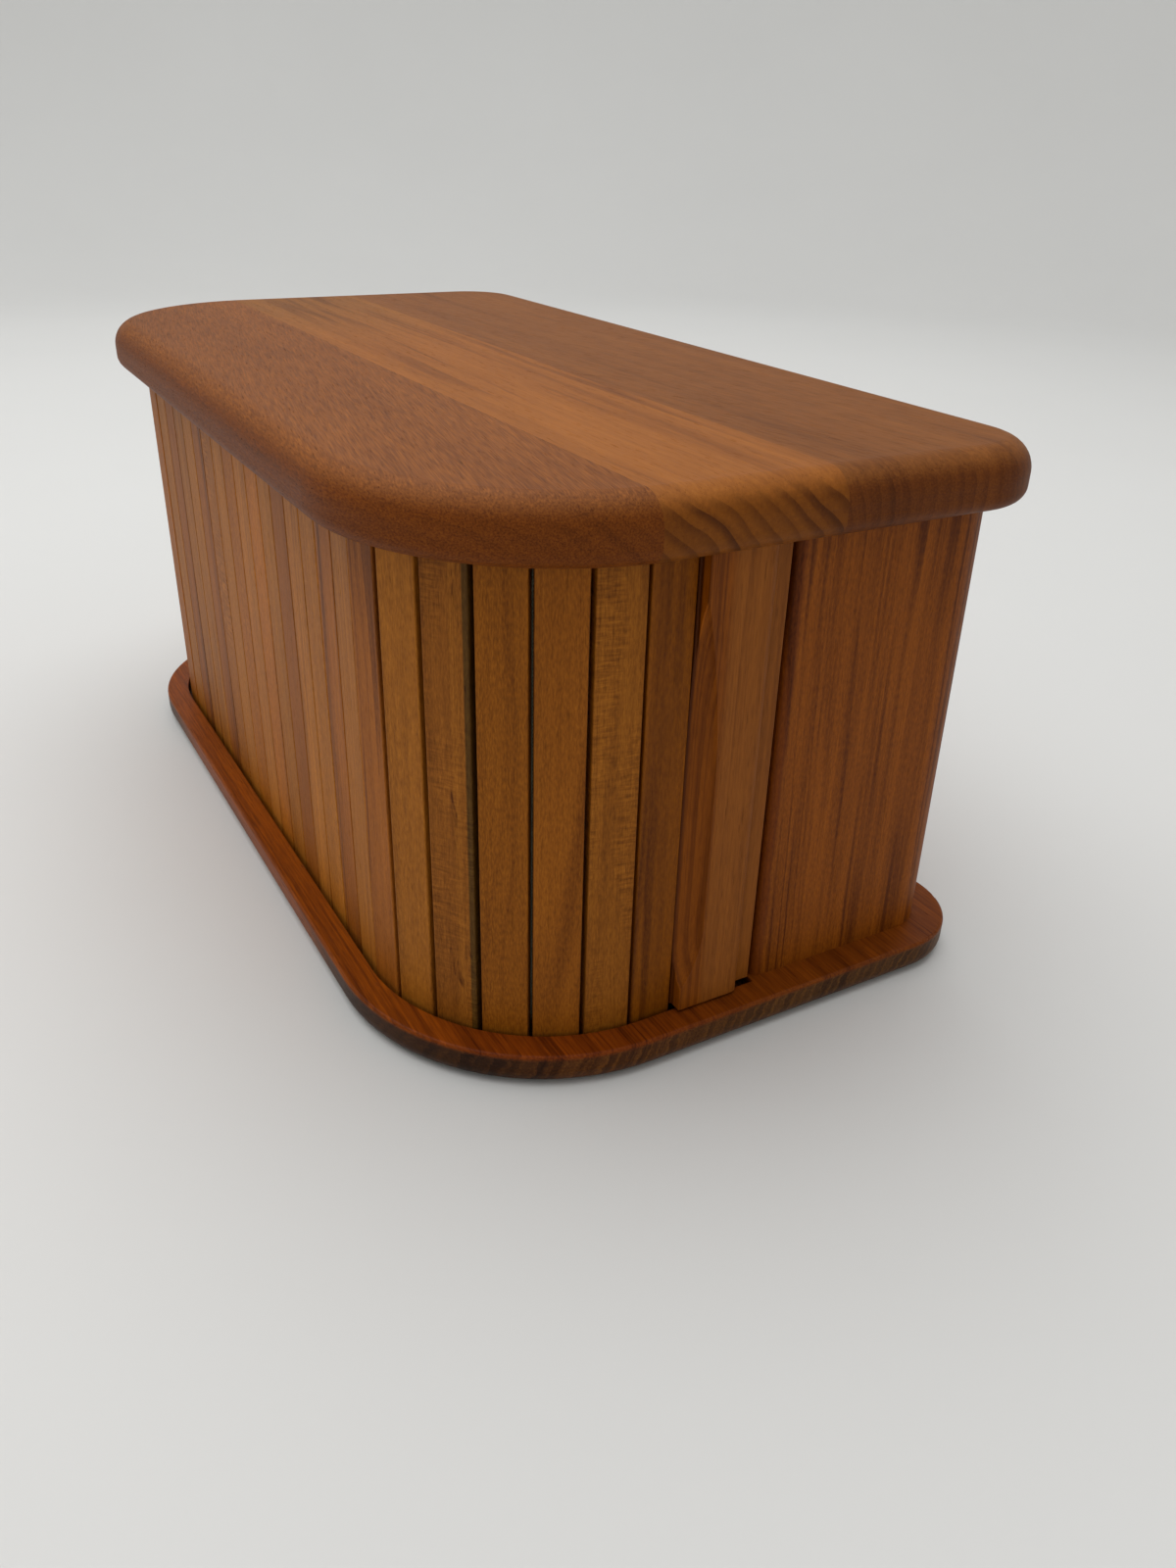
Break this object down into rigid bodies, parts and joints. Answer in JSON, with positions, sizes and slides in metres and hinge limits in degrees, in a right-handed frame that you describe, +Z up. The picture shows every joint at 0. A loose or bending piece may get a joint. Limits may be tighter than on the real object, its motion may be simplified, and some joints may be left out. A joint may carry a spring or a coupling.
{
  "type": "tambour lid box",
  "caption": "Wooden box for papers and keepsakes whose slatted curtain lid slides in grooves round its rounded front corners.",
  "frame": {"origin": "on the resting surface, under the middle of the base board", "axes": "+X along the box towards the fixed right panel and the lead slat's end, +Y to the back panel, +Z up"},
  "size_m": [0.29, 0.156, 0.1345],
  "materials": {
    "base_teak": "oiled",
    "top_dark_teak": "oiled",
    "top_light_teak": "oiled",
    "panel_teak": "oiled",
    "slat_teak": "oiled",
    "lead_teak": "oiled",
    "canvas": "woven canvas",
    "screw_brass": "turned",
    "dowel_beech": "raw"
  },
  "bodies": {
    "case": {"base_board": "base_teak", "top_front_stave": "top_dark_teak", "top_middle_stave": "top_light_teak", "top_back_stave": "top_dark_teak", "right_panel": "panel_teak", "back_panel": "panel_teak", "left_panel": "panel_teak", "base_screws": "screw_brass", "top_dowels": "dowel_beech"},
    "front_run": {"slat_08": "slat_teak", "slat_09": "slat_teak", "slat_10": "slat_teak", "slat_11": "slat_teak", "slat_12": "slat_teak", "slat_13": "slat_teak", "slat_14": "slat_teak", "slat_15": "slat_teak", "slat_16": "slat_teak", "slat_17": "slat_teak", "slat_18": "slat_teak", "slat_19": "slat_teak", "slat_20": "slat_teak", "backing_front": "canvas"},
    "lead": {"lead_slat": "lead_teak", "backing_lead": "canvas"},
    "slat_01_body": {"slat_01": "slat_teak", "backing_01": "canvas"},
    "slat_05_body": {"slat_05": "slat_teak", "backing_05": "canvas"},
    "slat_06_body": {"slat_06": "slat_teak", "backing_06": "canvas"},
    "slat_07_body": {"slat_07": "slat_teak", "backing_07": "canvas"},
    "slat_21_body": {"slat_21": "slat_teak", "backing_21": "canvas"},
    "slat_22_body": {"slat_22": "slat_teak", "backing_22": "canvas"},
    "slat_23_body": {"slat_23": "slat_teak", "backing_23": "canvas"},
    "slat_28_body": {"slat_28": "slat_teak", "backing_28": "canvas"},
    "slat_29_body": {"slat_29": "slat_teak", "backing_29": "canvas"},
    "slat_30_body": {"slat_30": "slat_teak", "backing_30": "canvas"},
    "right_corner_run": {"slat_02": "slat_teak", "slat_03": "slat_teak", "slat_04": "slat_teak", "backing_right_corner": "canvas"},
    "left_corner_run": {"slat_24": "slat_teak", "slat_25": "slat_teak", "slat_26": "slat_teak", "slat_27": "slat_teak", "backing_left_corner": "canvas"},
    "tail_run": {"slat_31": "slat_teak", "slat_32": "slat_teak", "slat_33": "slat_teak", "backing_tail": "canvas"}
  },
  "joints": [
    {"name": "lid_slide", "type": "slide", "parent": "case", "child": "front_run", "axis": [-1, 0, 0], "range_m": [0, 0.033]},
    {"name": "lead_turn", "type": "hinge", "parent": "case", "child": "lead", "pos_m": [0.01691, -0.01261, 0], "axis": [0, 0, -1], "range_deg": [0, 16.18]},
    {"name": "slat_01_body_turn", "type": "hinge", "parent": "case", "child": "slat_01_body", "pos_m": [0.08467, -0.02113, 0], "axis": [0, 0, -1], "range_deg": [0, 38.71]},
    {"name": "slat_05_body_turn", "type": "hinge", "parent": "case", "child": "slat_05_body", "pos_m": [0.08736, -0.01505, 0], "axis": [0, 0, -1], "range_deg": [0, 36.69]},
    {"name": "slat_06_body_turn", "type": "hinge", "parent": "case", "child": "slat_06_body", "pos_m": [0.08186, 0.01864, 0], "axis": [0, 0, -1], "range_deg": [0, 22.12]},
    {"name": "slat_07_body_turn", "type": "hinge", "parent": "case", "child": "slat_07_body", "pos_m": [0.07636, 0.18364, 0], "axis": [0, 0, -1], "range_deg": [0, 7.56]},
    {"name": "slat_21_body_turn", "type": "hinge", "parent": "case", "child": "slat_21_body", "pos_m": [-0.0742, 0.9477, 0], "axis": [0, 0, -1], "range_deg": [0, 1.87]},
    {"name": "slat_22_body_turn", "type": "hinge", "parent": "case", "child": "slat_22_body", "pos_m": [-0.07971, 0.04828, 0], "axis": [0, 0, -1], "range_deg": [0, 16.43]},
    {"name": "slat_23_body_turn", "type": "hinge", "parent": "case", "child": "slat_23_body", "pos_m": [-0.08521, -0.00574, 0], "axis": [0, 0, -1], "range_deg": [0, 31]},
    {"name": "slat_28_body_turn", "type": "hinge", "parent": "case", "child": "slat_28_body", "pos_m": [-0.08195, -0.02085, 0], "axis": [0, 0, -1], "range_deg": [0, 36.72]},
    {"name": "slat_29_body_turn", "type": "hinge", "parent": "case", "child": "slat_29_body", "pos_m": [-0.06899, -0.02018, 0], "axis": [0, 0, -1], "range_deg": [0, 29.4]},
    {"name": "slat_30_body_turn", "type": "hinge", "parent": "case", "child": "slat_30_body", "pos_m": [-0.04764, -0.02274, 0], "axis": [0, 0, -1], "range_deg": [0, 22.08]},
    {"name": "right_corner_turn", "type": "hinge", "parent": "case", "child": "right_corner_run", "pos_m": [0.09, -0.023, 0], "axis": [0, 0, -1], "range_deg": [0, 43.67]},
    {"name": "left_corner_turn", "type": "hinge", "parent": "case", "child": "left_corner_run", "pos_m": [-0.09, -0.023, 0], "axis": [0, 0, -1], "range_deg": [0, 43.67]},
    {"name": "tail_turn", "type": "hinge", "parent": "case", "child": "tail_run", "pos_m": [-0.04627, -0.023, 0], "axis": [0, 0, -1], "range_deg": [0, 21.73]}
  ],
  "couplings": [
    {"joint": "lead_turn", "follows": "lid_slide", "rad_per_m": 8.5555},
    {"joint": "slat_01_body_turn", "follows": "lid_slide", "rad_per_m": 20.473},
    {"joint": "slat_05_body_turn", "follows": "lid_slide", "rad_per_m": 19.405},
    {"joint": "slat_06_body_turn", "follows": "lid_slide", "rad_per_m": 11.7},
    {"joint": "slat_07_body_turn", "follows": "lid_slide", "rad_per_m": 3.9962},
    {"joint": "slat_21_body_turn", "follows": "lid_slide", "rad_per_m": 0.98611},
    {"joint": "slat_22_body_turn", "follows": "lid_slide", "rad_per_m": 8.6903},
    {"joint": "slat_23_body_turn", "follows": "lid_slide", "rad_per_m": 16.394},
    {"joint": "slat_28_body_turn", "follows": "lid_slide", "rad_per_m": 19.419},
    {"joint": "slat_29_body_turn", "follows": "lid_slide", "rad_per_m": 15.548},
    {"joint": "slat_30_body_turn", "follows": "lid_slide", "rad_per_m": 11.677},
    {"joint": "right_corner_turn", "follows": "lid_slide", "rad_per_m": 23.095},
    {"joint": "left_corner_turn", "follows": "lid_slide", "rad_per_m": 23.095},
    {"joint": "tail_turn", "follows": "lid_slide", "rad_per_m": 11.49}
  ]
}
